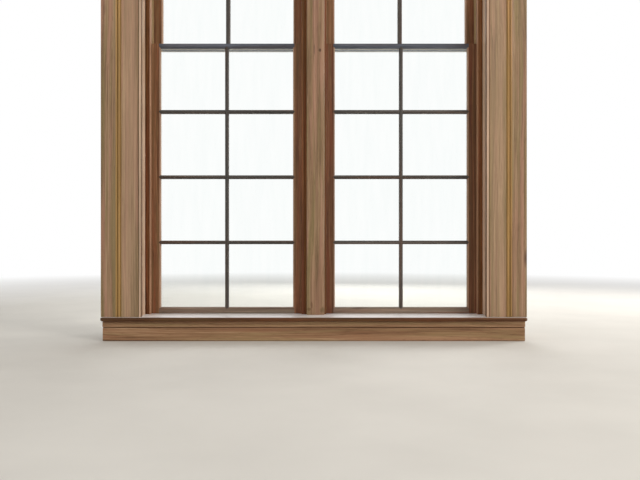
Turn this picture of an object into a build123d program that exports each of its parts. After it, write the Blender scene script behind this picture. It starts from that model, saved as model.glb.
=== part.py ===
# A pair of double-hung wooden sash windows in one weighted box frame, with room-side trim.
#
# Millimetres. X runs along the wall with 0 on the centre line of the mullion, Y runs from the room
# to the outdoors with 0 half way between the two sash tracks, and Z runs up from the sill's
# underside. Each sash has two columns of four panes. It hangs on two cords, which run over pulleys
# to iron weights in the side boxes and in the mullion.

from build123d import *

import os
from collections import namedtuple
from math import sqrt

os.makedirs("parts", exist_ok=True)

# Sash members
pane_width = 300.5
pane_height = 288.0
lower_row_extra = 6.0
rows = 4
stile_width = 50.0
bottom_rail_height = 73.0
meeting_rail_height = 20.0
top_rail_height = 48.0
lower_muntin_width = 17.0
upper_muntin_width = 20.0
sash_thickness = 36.0

# The moulded inner edge of every sash member, and the rebate for the glass behind it
sticking_width = 7.0
sticking_quirk = 1.2
glass_seat = 22.0
rebate_width = 6.0
glass_thickness = 3.0
glass_edge_gap = 1.0

# Joinery of the sashes
tenon_thickness = 12.0
tenon_shoulder = 4.0
blind_tenon_wall = 2.0
cope_overrun = 3.0
bevel_gap = 1.0
bevel_lean = 4.0

# Tracks
track_gap = 0.8
side_gap = 2.0
head_gap = 2.0
seat_gap = 0.3
parting_bead_thickness = 12.0
parting_bead_width = 22.0
parting_bead_groove = 10.0
lip_end_gap = 1.5
stop_depth = 40.0
stop_width = 12.0
stop_round = 4.0

# Box frame
mullion_half_width = 45.5
pulley_stile_thickness = 20.0
box_width = 62.0
lining_thickness = 18.0
outer_lining_thickness = 16.0
outer_lining_lap = 12.0
back_lining_thickness = 12.0
head_jamb_thickness = 22.0
head_lining_height = 76.0
slip_thickness = 6.0
mullion_slip_thickness = 4.0
mullion_slip_margin = 3.5
slip_margin = 8.0
slip_foot = 150.0
pocket_bottom = 300.0
pocket_height = 400.0
pocket_width = 42.0
pocket_end_bevel = 12.0

# Sill, stool and apron
sill_height = 77.0
sill_back_height = 50.0
sill_fall = 1 / 8
sill_step = 6.0
sill_projection = 66.0
sill_nose_round = 4.0
throat_width = 6.0
throat_depth = 5.0
throat_inset = 14.0
upstand_gap = 2.0
stool_thickness = 18.0
stool_projection = 20.0
stool_nose_round = 7.0
stool_corner_round = 16.0
apron_height = 90.0
apron_thickness = 22.0
apron_inset = 7.0
apron_band_height = 26.0
apron_groove = 5.5
apron_field_set_back = 4.0
apron_foot_round = 5.0

# Reveal and casing
reveal_depth = 93.4
reveal_set_back = 9.5
reveal_lining_thickness = 19.0
casing_overhang = 8.0
casing_width = 180.0
casing_thickness = 26.0
edge_bead_radius = 5.5
centre_bead_radius = 6.5
centre_bead_rise = 5.5
centre_bead_place = 97.5
shoulder_width = 14.0
quirk_width = 3.0
quirk_depth = 4.5
inner_field_drop = 3.0
outer_field_drop = 2.0
outer_band_width = 9.0
casing_edge_round = 3.0

# Mullion casing, planted a little right of the centre
mullion_casing_width = 82.0
mullion_casing_offset = 7.5
mullion_casing_thickness = 28.0
mullion_casing_round = 9.0
mullion_flute_width = 18.0
mullion_flute_depth = 3.5

# Outer mouldings
outer_moulding_width = 50.0
outer_moulding_depth = 45.0
outer_moulding_cove = 22.0
outer_moulding_fillet = 6.0

# Pulleys, cords and weights
cord_radius = 3.5
cord_inset = 4.0
cord_groove_width = 9.0
cord_groove_depth = 12.0
wheel_groove_width = 16.0
wheel_groove_length = 130.0
knot_radius = 7.0
knot_drop = 300.0
knot_gap = 0.5
knot_wall_gap = 1.0
pulley_drop = 85.0
jamb_pulley_radius = 25.0
mullion_pulley_radius = 19.0
wheel_width = 12.0
wheel_rim = 2.0
wheel_hub_radius = 8.0
wheel_web_recess = 2.5
wheel_web_margin = 4.0
wheel_lip = 1.0
cord_seat_gap = 0.3
pin_radius = 3.0
pin_clearance = 0.3
cheek_thickness = 2.2
cheek_gap = 0.4
cheek_nose_radius = 12.0
faceplate_width = 26.0
faceplate_height = 110.0
faceplate_thickness = 2.5
faceplate_corner = 4.0
slot_side_gap = 0.8
slot_end_gap = 1.0
mortise_allowance = 7.0
jamb_weight_diameter = 36.0
jamb_weight_length = 660.0
mullion_weight_width = 22.0
mullion_weight_depth = 36.0
mullion_weight_length = 890.0
mullion_weight_corner = 7.0
weight_nose = 4.0
weight_eye_radius = 4.2
weight_window_height = 26.0
weight_window_width = 16.0
weight_cap = 22.0
weight_drop = 120.0
sash_travel = 1140.0

# Places that follow from the sizes
sash_half_width = pane_width + lower_muntin_width / 2 + stile_width
daylight_half_width = sash_half_width - stile_width
track_half_width = sash_half_width + side_gap
window_centre = mullion_half_width + track_half_width
jamb_face = window_centre + track_half_width

parting_half = parting_bead_thickness / 2
lower_sash_room_face = -parting_half - track_gap - sash_thickness
upper_sash_room_face = parting_half + track_gap
lower_track_middle = lower_sash_room_face + sash_thickness / 2
upper_track_middle = upper_sash_room_face + sash_thickness / 2
stop_back = lower_sash_room_face - track_gap
stop_front = stop_back - stop_depth
box_front = stop_front + lining_thickness
box_back = upper_sash_room_face + sash_thickness + track_gap
outer_face = box_back + outer_lining_thickness
wall_face = stop_front - reveal_depth
casing_face = wall_face - casing_thickness
stop_reach = track_half_width - stop_width
bead_reach = track_half_width - (parting_bead_width - parting_bead_groove)

box_inner = jamb_face + pulley_stile_thickness
box_outer = box_inner + box_width
frame_half_width = box_outer + back_lining_thickness
mullion_box_half = mullion_half_width - pulley_stile_thickness

stool_top = sill_height + stool_thickness
stool_front = casing_face - stool_projection
upstand_back = lower_sash_room_face - upstand_gap
lower_sash_bottom = sill_back_height - (lower_sash_room_face - upstand_back) * sill_fall + seat_gap
lower_daylight_bottom = lower_sash_bottom + bottom_rail_height
lower_bar_heights = [
    lower_daylight_bottom + lower_row_extra + pane_height + lower_muntin_width / 2
    + row * (pane_height + lower_muntin_width)
    for row in range(rows - 1)
]
lower_daylight_top = lower_bar_heights[-1] + lower_muntin_width / 2 + pane_height
lower_sash_top = lower_daylight_top + meeting_rail_height
upper_sash_bottom = lower_daylight_top
upper_daylight_bottom = upper_sash_bottom + meeting_rail_height
upper_bar_heights = [
    upper_daylight_bottom + pane_height + upper_muntin_width / 2
    + row * (pane_height + upper_muntin_width)
    for row in range(rows - 1)
]
upper_daylight_top = upper_bar_heights[-1] + upper_muntin_width / 2 + pane_height
upper_sash_top = upper_daylight_top + top_rail_height
head_face = upper_sash_top + head_gap
head_top = head_face + head_lining_height
pulley_height = head_face - pulley_drop

reveal_face = jamb_face + reveal_set_back
reveal_back = reveal_face + reveal_lining_thickness
head_reveal_face = head_face + reveal_set_back
casing_inner = reveal_face - casing_overhang
casing_outer = casing_inner + casing_width
head_casing_inner = head_reveal_face - casing_overhang
head_casing_outer = head_casing_inner + casing_width

cord_place = sash_half_width - cord_inset
knot_place = cord_place - cord_radius
weight_knot_depth = weight_cap + knot_radius + cord_seat_gap
lower_weight_top = pulley_height - weight_drop
upper_weight_top = lower_weight_top - sash_travel
mortise_width = wheel_width + 2 * (cheek_gap + cheek_thickness)

# How far along a quarter round's reach its middle lies
quarter_round_middle = 1 - sqrt(0.5)

sides = (("left", -1), ("right", 1))


def save(piece, name):
    piece.label = name
    export_step(piece, f"parts/{name}.step")


def save_group(pieces, name):
    save(Compound(children=pieces), name)


# A plain board between two corners
def make_board(low, high):
    with BuildPart() as board:
        middle = tuple((a + b) / 2 for a, b in zip(low, high))
        with Locations(middle):
            Box(high[0] - low[0], high[1] - low[1], high[2] - low[2])
    return board.part


# The plane of a mitre at an upper corner: side is +1 at the right corner, -1 at the left
def mitre_plane(side, corner_x, corner_z):
    return Plane(origin=(corner_x, 0, corner_z), x_dir=(0, 1, 0), z_dir=(-side, 0, 1))


def sill_top_at(y):
    """Height of the sloping top of the sill, back from its upstand."""
    step = sill_step if y > outer_face else 0
    return sill_back_height - (y - upstand_back) * sill_fall - step


# Sill, with its upstand, weathered and stepped top and the throat under its nose
def make_sill():
    nose = outer_face + sill_projection
    with BuildPart() as sill:
        with BuildSketch(Plane.YZ.offset(-frame_half_width)):
            with BuildLine():
                Polyline(
                    (stop_front, 0),
                    (stop_front, sill_height),
                    (upstand_back, sill_height),
                    (upstand_back, sill_back_height),
                    (outer_face, sill_top_at(outer_face)),
                    (outer_face, sill_top_at(outer_face) - sill_step),
                    (nose, sill_top_at(nose)),
                    (nose, 0),
                    (nose - throat_inset, 0),
                    (nose - throat_inset, throat_depth),
                    (nose - throat_inset - throat_width, throat_depth),
                    (nose - throat_inset - throat_width, 0),
                    close=True,
                )
            make_face()
        extrude(amount=2 * frame_half_width)
        nose_edge = sill.edges().filter_by(Axis.X).group_by(Axis.Y)[-1].sort_by(Axis.Z)[-1]
        fillet(nose_edge, radius=sill_nose_round)
    return sill.part


# Stool, with horns under the casings, a tongue into each window and a nose returned at its ends
def make_stool():
    tongue_inner = mullion_half_width
    tongue_outer = jamb_face
    with BuildPart() as stool:
        with BuildSketch(Plane.XY.offset(sill_height)):
            with BuildLine():
                Polyline(
                    (-casing_outer, stool_front),
                    (casing_outer, stool_front),
                    (casing_outer, wall_face),
                    (reveal_back, wall_face),
                    (reveal_back, stop_front),
                    (tongue_outer, stop_front),
                    (tongue_outer, upstand_back),
                    (tongue_inner, upstand_back),
                    (tongue_inner, stop_front),
                    (-tongue_inner, stop_front),
                    (-tongue_inner, upstand_back),
                    (-tongue_outer, upstand_back),
                    (-tongue_outer, stop_front),
                    (-reveal_back, stop_front),
                    (-reveal_back, wall_face),
                    (-casing_outer, wall_face),
                    close=True,
                )
            make_face()
        extrude(amount=stool_thickness)
        corner_edges = stool.edges().filter_by(Axis.Z).group_by(Axis.Y)[0]
        fillet(corner_edges, radius=stool_corner_round)
        nose_edges = stool.edges().filter_by(Axis.X).group_by(Axis.Y)[0]
        fillet(nose_edges, radius=stool_nose_round)
    return stool.part


# Apron: a proud band over a groove, a lower field and a rounded foot
def make_apron():
    band_face = wall_face - apron_thickness
    field_face = band_face + apron_field_set_back
    band_foot = sill_height - apron_band_height
    foot = sill_height - apron_height
    with BuildPart() as apron:
        with BuildSketch(Plane.YZ.offset(-casing_outer + apron_inset)):
            with BuildLine():
                Polyline(
                    (wall_face, sill_height),
                    (band_face, sill_height),
                    (band_face, band_foot),
                    (field_face + apron_groove, band_foot),
                    (field_face + apron_groove, band_foot - apron_groove),
                    (field_face, band_foot - apron_groove),
                    (field_face, foot + apron_foot_round),
                )
                RadiusArc(
                    (field_face, foot + apron_foot_round),
                    (field_face + apron_foot_round, foot),
                    -apron_foot_round,
                )
                Polyline(
                    (field_face + apron_foot_round, foot),
                    (wall_face, foot),
                    (wall_face, sill_height),
                )
            make_face()
        extrude(amount=2 * (casing_outer - apron_inset))
    return apron.part


# The casing's section, from its inner edge (a = 0) to its outer edge (a = casing_width).
# place(a, p) gives the sketch point at a across the board and p out from the wall.
def draw_casing_section(place):
    full = casing_thickness
    inner_field = full - inner_field_drop
    outer_field = full - outer_field_drop
    edge_bead = 2 * edge_bead_radius
    bead_left = centre_bead_place - centre_bead_radius
    bead_right = centre_bead_place + centre_bead_radius
    inner_shoulder = bead_left - quirk_width
    outer_shoulder = bead_right + quirk_width
    outer_band = casing_width - outer_band_width
    groove = full - quirk_depth
    outwards = Vector(*place(1, 0)) - Vector(*place(0, 0))
    ThreePointArc(
        place(0, full - edge_bead_radius),
        place(edge_bead_radius, full),
        place(edge_bead, full - edge_bead_radius),
    )
    Polyline(
        place(edge_bead, full - edge_bead_radius),
        place(edge_bead + quirk_width, full - edge_bead_radius),
        place(edge_bead + quirk_width, inner_field),
        place(inner_shoulder - shoulder_width, inner_field),
    )
    TangentArc(
        place(inner_shoulder, full),
        place(inner_shoulder - shoulder_width, inner_field),
        tangent=-outwards,
    )
    Polyline(
        place(inner_shoulder, full),
        place(inner_shoulder, groove),
        place(bead_left, groove),
    )
    ThreePointArc(
        place(bead_left, groove),
        place(centre_bead_place, groove + centre_bead_rise),
        place(bead_right, groove),
    )
    Polyline(
        place(bead_right, groove),
        place(outer_shoulder, groove),
        place(outer_shoulder, full),
    )
    TangentArc(
        place(outer_shoulder, full),
        place(outer_shoulder + shoulder_width, outer_field),
        tangent=outwards,
    )
    Polyline(
        place(outer_shoulder + shoulder_width, outer_field),
        place(outer_band, outer_field),
        place(outer_band, full),
        place(casing_width - casing_edge_round, full),
    )
    ThreePointArc(
        place(casing_width - casing_edge_round, full),
        place(
            casing_width - casing_edge_round * quarter_round_middle,
            full - casing_edge_round * quarter_round_middle,
        ),
        place(casing_width, full - casing_edge_round),
    )
    Polyline(
        place(casing_width, full - casing_edge_round),
        place(casing_width, 0),
        place(0, 0),
        place(0, full - edge_bead_radius),
    )


def make_side_casing(side):
    def place(a, p):
        return (side * (casing_inner + a), wall_face - p)

    with BuildPart() as casing:
        with BuildSketch(Plane.XY.offset(stool_top)):
            with BuildLine():
                draw_casing_section(place)
            make_face()
        extrude(amount=head_casing_outer - stool_top)
        corner = mitre_plane(side, side * casing_inner, head_casing_inner)
        split(bisect_by=corner, keep=Keep.BOTTOM)
    return casing.part


def make_head_casing():
    def place(a, p):
        return (wall_face - p, head_casing_inner + a)

    with BuildPart() as casing:
        with BuildSketch(Plane.YZ.offset(-casing_outer)):
            with BuildLine():
                draw_casing_section(place)
            make_face()
        extrude(amount=2 * casing_outer)
        for _, side in sides:
            corner = mitre_plane(side, side * casing_inner, head_casing_inner)
            split(bisect_by=corner, keep=Keep.TOP)
    return casing.part


# Mullion casing: soft round edges and a shallow flute down its middle
def make_mullion_casing():
    left = mullion_casing_offset - mullion_casing_width / 2
    right = mullion_casing_offset + mullion_casing_width / 2
    face = stop_front - mullion_casing_thickness
    flute_half = mullion_flute_width / 2
    with BuildPart() as casing:
        with BuildSketch(Plane.XY.offset(stool_top)):
            with BuildLine():
                Polyline(
                    (mullion_casing_offset - flute_half, face),
                    (left, face),
                    (left, stop_front),
                    (right, stop_front),
                    (right, face),
                    (mullion_casing_offset + flute_half, face),
                )
                ThreePointArc(
                    (mullion_casing_offset + flute_half, face),
                    (mullion_casing_offset, face + mullion_flute_depth),
                    (mullion_casing_offset - flute_half, face),
                )
            make_face()
        extrude(amount=head_reveal_face - stool_top)
        face_edges = casing.edges().filter_by(Axis.Z).group_by(Axis.Y)[0]
        outer_edges = face_edges.sort_by(Axis.X)
        fillet([outer_edges[0], outer_edges[-1]], radius=mullion_casing_round)
    return casing.part


# Reveal linings, from the casing back to the box frame
def make_side_reveal_lining(side):
    near, far = sorted((side * reveal_face, side * reveal_back))
    return make_board((near, wall_face, stool_top), (far, stop_front, head_reveal_face))


def make_head_reveal_lining():
    head_reveal_top = head_reveal_face + reveal_lining_thickness
    return make_board(
        (-reveal_back, wall_face, head_reveal_face),
        (reveal_back, stop_front, head_reveal_top),
    )


# Pocket cover, with bevelled ends that seat it in its opening in the pulley stile.
# facing is +1 where the stile's face looks to +X, and face_x is that face's place.
def make_pocket_cover(face_x, facing):
    back_x = face_x - facing * pulley_stile_thickness
    pocket_top = pocket_bottom + pocket_height
    with BuildPart() as cover:
        with BuildSketch(Plane.XZ.offset(parting_half)):
            with BuildLine():
                Polyline(
                    (face_x, pocket_bottom),
                    (back_x, pocket_bottom + pocket_end_bevel),
                    (back_x, pocket_top + pocket_end_bevel),
                    (face_x, pocket_top),
                    close=True,
                )
            make_face()
        extrude(amount=pocket_width)
    return cover.part


# One pulley stile, grooved for the parting bead, with its pocket and its two pulley mortises
def make_pulley_stile(face_x, facing, pulley_radius, sill, cover):
    back_x = face_x - facing * pulley_stile_thickness
    middle_x = (face_x + back_x) / 2
    mortise_height = 2 * (pulley_radius + mortise_allowance)
    with BuildPart() as stile:
        with BuildSketch(Plane.XY):
            with Locations((middle_x, (box_front + box_back) / 2)):
                Rectangle(pulley_stile_thickness, box_back - box_front)
            with Locations((face_x - facing * parting_bead_groove / 2, 0)):
                Rectangle(parting_bead_groove, parting_bead_thickness, mode=Mode.SUBTRACT)
        extrude(amount=head_face)
        add(sill, mode=Mode.SUBTRACT)
        add(cover, mode=Mode.SUBTRACT)
        for track in (lower_track_middle, upper_track_middle):
            with Locations((middle_x, track, pulley_height)):
                Box(pulley_stile_thickness, mortise_width, mortise_height, mode=Mode.SUBTRACT)
            with BuildSketch(Plane.YZ.offset(face_x)):
                with Locations((track, pulley_height)):
                    RectangleRounded(faceplate_width, faceplate_height, faceplate_corner)
            extrude(amount=-facing * faceplate_thickness, mode=Mode.SUBTRACT)
    return stile.part


# Head jamb over both windows and their boxes, grooved for the head parting beads
def make_head_jamb():
    with BuildPart() as jamb:
        with BuildSketch(Plane.XY.offset(head_face)):
            with Locations((0, (box_front + box_back) / 2)):
                Rectangle(2 * frame_half_width, box_back - box_front)
        extrude(amount=head_jamb_thickness)
        with BuildSketch(Plane.XY.offset(head_face)):
            with Locations((-window_centre, 0), (window_centre, 0)):
                Rectangle(2 * bead_reach, parting_bead_thickness)
        extrude(amount=parting_bead_groove, mode=Mode.SUBTRACT)
    return jamb.part


# The four boards that close the boxes on one side: two at the jambs, the mullion's and the head's
def make_linings(front, back, lap, sill):
    side_inner = jamb_face - lap
    mullion_half = mullion_half_width + lap
    head_bottom = head_face - lap
    boards = [
        make_board((-frame_half_width, front, 0), (-side_inner, back, head_top)),
        make_board((side_inner, front, 0), (frame_half_width, back, head_top)),
        make_board((-mullion_half, front, 0), (mullion_half, back, head_bottom)),
        make_board((-side_inner, front, head_bottom), (side_inner, back, head_top)),
    ]
    return [cut_to_sill(board, sill) for board in boards]


# A piece with its foot shaped to stand on the sill
def cut_to_sill(piece, sill):
    with BuildPart() as cut:
        add(piece)
        add(sill, mode=Mode.SUBTRACT)
    return cut.part


# Back linings close the boxes towards the wall
def make_back_lining(side, sill):
    near, far = sorted((side * box_outer, side * frame_half_width))
    board = make_board((near, box_front, 0), (far, box_back, head_face))
    return cut_to_sill(board, sill)


# Slips hang from the head jamb and keep the weights of one box apart
def make_parting_slips():
    half = slip_thickness / 2
    mullion_half = mullion_slip_thickness / 2
    slips = []
    for _, side in sides:
        near, far = sorted((side * (box_inner + slip_margin), side * (box_outer - slip_margin)))
        slips.append(make_board((near, -half, slip_foot), (far, half, head_face)))
        near, far = sorted((side * mullion_half, side * (mullion_box_half - mullion_slip_margin)))
        slips.append(make_board((near, -half, slip_foot), (far, half, head_face)))
    slips.append(
        make_board(
            (-mullion_half, box_front + slip_margin, slip_foot),
            (mullion_half, box_back - slip_margin, head_face),
        )
    )
    return slips


# Stop beads of one window, with a rounded arris and mitred upper corners
def make_stop_beads(centre):
    beads = []
    corner_z = head_face - stop_width
    for _, side in sides:
        inner_x = centre + side * stop_reach
        outer_x = centre + side * track_half_width
        near, far = sorted((inner_x, outer_x))
        with BuildPart() as bead:
            add(make_board((near, stop_front, stool_top), (far, stop_back, head_face)))
            front = bead.edges().filter_by(Axis.Z).group_by(Axis.Y)[0].sort_by(Axis.X)
            fillet(front[0] if side > 0 else front[-1], radius=stop_round)
            split(bisect_by=mitre_plane(side, inner_x, corner_z), keep=Keep.BOTTOM)
        beads.append(bead.part)
    with BuildPart() as head:
        add(
            make_board(
                (centre - track_half_width, stop_front, corner_z),
                (centre + track_half_width, stop_back, head_face),
            )
        )
        front = head.edges().filter_by(Axis.X).group_by(Axis.Y)[0].sort_by(Axis.Z)
        fillet(front[0], radius=stop_round)
        for _, side in sides:
            corner = mitre_plane(side, centre + side * stop_reach, corner_z)
            split(bisect_by=corner, keep=Keep.TOP)
    beads.append(head.part)
    return beads


# Parting beads of one window, let into the pulley stiles and the head jamb
def make_parting_beads(centre, sill):
    beads = []
    for _, side in sides:
        inner_x = centre + side * bead_reach
        outer_x = centre + side * (track_half_width + parting_bead_groove)
        near, far = sorted((inner_x, outer_x))
        bead = make_board((near, -parting_half, 0), (far, parting_half, head_face))
        beads.append(cut_to_sill(bead, sill))
    proud = parting_bead_width - parting_bead_groove
    beads.append(
        make_board(
            (centre - bead_reach, -parting_half, head_face - proud),
            (centre + bead_reach, parting_half, head_face + parting_bead_groove),
        )
    )
    return beads


# Outer mouldings against the outside linings: a flat, a cove and an edge, mitred at the top
def draw_outer_moulding(place):
    far = outer_moulding_depth
    cove_end = far - outer_moulding_fillet
    flat = outer_moulding_width - outer_moulding_cove
    Polyline(
        place(outer_moulding_cove, outer_moulding_fillet),
        place(outer_moulding_cove - outer_moulding_fillet, outer_moulding_fillet),
        place(outer_moulding_cove - outer_moulding_fillet, 0),
        place(outer_moulding_width, 0),
        place(outer_moulding_width, far),
        place(outer_moulding_width - flat / 2, far),
        place(outer_moulding_width - flat / 2, cove_end),
    )
    ThreePointArc(
        place(outer_moulding_width - flat / 2, cove_end),
        place(
            outer_moulding_cove + flat / 2 * quarter_round_middle,
            outer_moulding_fillet + (cove_end - outer_moulding_fillet) * (1 - quarter_round_middle),
        ),
        place(outer_moulding_cove, outer_moulding_fillet),
    )


def make_outer_mouldings(sill):
    inner_x = frame_half_width - outer_moulding_width
    inner_z = head_top - outer_moulding_width
    mouldings = []
    for _, side in sides:
        def place(a, p):
            return (side * (inner_x + a), outer_face + p)

        with BuildPart() as moulding:
            with BuildSketch(Plane.XY):
                with BuildLine():
                    draw_outer_moulding(place)
                make_face()
            extrude(amount=head_top)
            split(bisect_by=mitre_plane(side, side * inner_x, inner_z), keep=Keep.BOTTOM)
            add(sill, mode=Mode.SUBTRACT)
        mouldings.append(moulding.part)

    def place_head(a, p):
        return (outer_face + p, inner_z + a)

    with BuildPart() as head:
        with BuildSketch(Plane.YZ.offset(-frame_half_width)):
            with BuildLine():
                draw_outer_moulding(place_head)
            make_face()
        extrude(amount=2 * frame_half_width)
        for _, side in sides:
            split(bisect_by=mitre_plane(side, side * inner_x, inner_z), keep=Keep.TOP)
    mouldings.append(head.part)
    return mouldings


# Pulley case: faceplate and two cheeks in one casting
def make_pulley_case(face_x, facing, track, pulley_radius):
    plate_back = face_x - facing * faceplate_thickness
    axle_x = face_x - facing * (pulley_radius - (track_half_width - cord_place))
    slot_length = 2 * (pulley_radius + wheel_rim + slot_end_gap)
    root_x = plate_back - facing * cheek_nose_radius / 2
    with BuildPart() as case:
        with BuildSketch(Plane.YZ.offset(face_x)):
            with Locations((track, pulley_height)):
                RectangleRounded(faceplate_width, faceplate_height, faceplate_corner)
                SlotOverall(
                    slot_length,
                    wheel_width + 2 * slot_side_gap,
                    rotation=90,
                    mode=Mode.SUBTRACT,
                )
        extrude(amount=-facing * faceplate_thickness)
        for _, side in sides:
            inner_y = track + side * (wheel_width / 2 + cheek_gap)
            with BuildSketch(Plane.XZ.offset(-inner_y)):
                with Locations((root_x, pulley_height)):
                    Rectangle(cheek_nose_radius, 2 * pulley_radius)
                with Locations((axle_x, pulley_height)):
                    Circle(cheek_nose_radius)
                make_hull()
                with Locations((axle_x, pulley_height)):
                    Circle(pin_radius + pin_clearance, mode=Mode.SUBTRACT)
            extrude(amount=-side * cheek_thickness)
    return case.part


def make_pulley_pin(axle_x, track):
    with BuildPart() as pin:
        with BuildSketch(Plane.XZ.offset(-track)):
            with Locations((axle_x, pulley_height)):
                Circle(pin_radius)
        extrude(amount=mortise_width / 2, both=True)
    return pin.part


# Grooved wheel, thinned between hub and rim, turned about its axle along Y
def make_pulley_wheel(axle_x, track, pulley_radius):
    half = wheel_width / 2
    seat = cord_radius + cord_seat_gap
    rim = pulley_radius + wheel_rim
    rim_inner = pulley_radius - seat - wheel_web_margin
    web = half - wheel_web_recess
    lip = half - wheel_lip
    bore = pin_radius + pin_clearance
    hub_plane = Plane(origin=(axle_x, track, pulley_height), x_dir=(1, 0, 0), z_dir=(0, 0, 1))
    with BuildPart() as wheel:
        with BuildSketch(hub_plane):
            with BuildLine():
                Polyline(
                    (pulley_radius, -seat),
                    (rim, -lip),
                    (rim, -half),
                    (rim_inner, -half),
                    (rim_inner, -web),
                    (wheel_hub_radius, -web),
                    (wheel_hub_radius, -half),
                    (bore, -half),
                    (bore, half),
                    (wheel_hub_radius, half),
                    (wheel_hub_radius, web),
                    (rim_inner, web),
                    (rim_inner, half),
                    (rim, half),
                    (rim, lip),
                    (pulley_radius, seat),
                )
                ThreePointArc(
                    (pulley_radius, seat),
                    (pulley_radius - seat, 0),
                    (pulley_radius, -seat),
                )
            make_face()
        revolve(axis=Axis((axle_x, track, pulley_height), (0, 1, 0)))
    return wheel.part


# Cord of one pulley: knot in the sash's edge, over the wheel, knot in the weight
def make_cord(sash_x, knot_x, axle_x, weight_x, track, sash_knot_height, weight_knot_height):
    over = pulley_height + abs(axle_x - sash_x)
    start = Plane(origin=(sash_x, track, sash_knot_height), z_dir=(0, 0, 1))
    with BuildPart() as cord:
        with BuildLine(Plane.XZ.offset(-track)):
            Line((sash_x, sash_knot_height), (sash_x, pulley_height))
            ThreePointArc((sash_x, pulley_height), (axle_x, over), (weight_x, pulley_height))
            Line((weight_x, pulley_height), (weight_x, weight_knot_height))
        with BuildSketch(start):
            Circle(cord_radius)
        sweep()
        with Locations((knot_x, track, sash_knot_height), (weight_x, track, weight_knot_height)):
            Sphere(knot_radius)
    return cord.part


# Iron weight: round in the side boxes, flat in the mullion, with an eye and a knot window
def make_weight(weight_x, track, top, is_flat):
    length = mullion_weight_length if is_flat else jamb_weight_length
    reach = mullion_weight_width if is_flat else jamb_weight_diameter
    with BuildPart() as weight:
        with BuildSketch(Plane.XY.offset(top)):
            with Locations((weight_x, track)):
                if is_flat:
                    RectangleRounded(
                        mullion_weight_width, mullion_weight_depth, mullion_weight_corner
                    )
                else:
                    Circle(jamb_weight_diameter / 2)
        extrude(amount=-length)
        ends = weight.edges().group_by(Axis.Z)
        chamfer(ends[0] + ends[-1], length=weight_nose)
        with BuildSketch(Plane.XY.offset(top)):
            with Locations((weight_x, track)):
                Circle(weight_eye_radius)
        extrude(amount=-weight_cap, mode=Mode.SUBTRACT)
        with Locations((weight_x, track, top - weight_cap - weight_window_height / 2)):
            Box(reach, weight_window_width, weight_window_height, mode=Mode.SUBTRACT)
    return weight.part


# One sash: where its room face and its sight lines lie, and the widths of its members
Sash = namedtuple(
    "Sash",
    "centre room_face daylight_bottom daylight_top bar_heights muntin_width "
    "bottom_rail top_rail is_lower",
)


def lower_sash(centre):
    return Sash(
        centre, lower_sash_room_face, lower_daylight_bottom, lower_daylight_top,
        lower_bar_heights, lower_muntin_width, bottom_rail_height, meeting_rail_height, True,
    )


def upper_sash(centre):
    return Sash(
        centre, upper_sash_room_face, upper_daylight_bottom, upper_daylight_top,
        upper_bar_heights, upper_muntin_width, meeting_rail_height, top_rail_height, False,
    )


# The quarter round that runs along every pane, from the face's quirk to the glass's front edge.
# place(s, t) gives the sketch point at s from the sight line and t from the room face.
def draw_sticking(place):
    Line(place(sticking_width, 0), place(sticking_width, sticking_quirk))
    round_end = sticking_quirk + sticking_width
    ThreePointArc(
        place(sticking_width, sticking_quirk),
        place(
            sticking_width * quarter_round_middle,
            sticking_quirk + sticking_width * quarter_round_middle,
        ),
        place(0, round_end),
    )
    Line(place(0, round_end), place(0, glass_seat))


# Section of a member with a rebate for the glass
def draw_rebated_member(place, width):
    draw_sticking(place)
    Polyline(
        place(0, glass_seat),
        place(rebate_width, glass_seat),
        place(rebate_width, sash_thickness),
        place(width, sash_thickness),
        place(width, 0),
        place(sticking_width, 0),
    )


# Section of the lower sash's meeting rail, where the glass enters a groove
def draw_grooved_member(place, width):
    draw_sticking(place)
    Polyline(
        place(0, glass_seat),
        place(rebate_width, glass_seat),
        place(rebate_width, glass_seat + glass_thickness),
        place(0, glass_seat + glass_thickness),
        place(0, sash_thickness),
        place(width, sash_thickness),
        place(width, 0),
        place(sticking_width, 0),
    )


# Tenons of one rail end: the box's corners. sight is the sight line, outward +1 away from the glass
def tenon_corners(sash, side, sight, outward, width, is_through):
    inner = daylight_half_width + rebate_width
    outer = sash_half_width
    if not is_through:
        outer = sash_half_width - cord_groove_depth - blind_tenon_wall
    near, far = sorted((sash.centre + side * inner, sash.centre + side * outer))
    low, high = sorted((sight + outward * sticking_width, sight + outward * (width - tenon_shoulder)))
    front = sash.room_face + (sash_thickness - tenon_thickness) / 2
    return (near, front, low), (far, front + tenon_thickness, high)


def bottom_tenon(sash, side):
    return tenon_corners(sash, side, sash.daylight_bottom, -1, sash.bottom_rail, True)


def top_tenon(sash, side):
    return tenon_corners(sash, side, sash.daylight_top, 1, sash.top_rail, False)


# The lower sash's underside follows the sill with a small gap
def sill_bevel():
    seat = sill_top_at(lower_sash_room_face) + seat_gap
    return Plane(
        origin=(0, lower_sash_room_face, seat), x_dir=(1, 0, 0), z_dir=(0, sill_fall, 1)
    )


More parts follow.
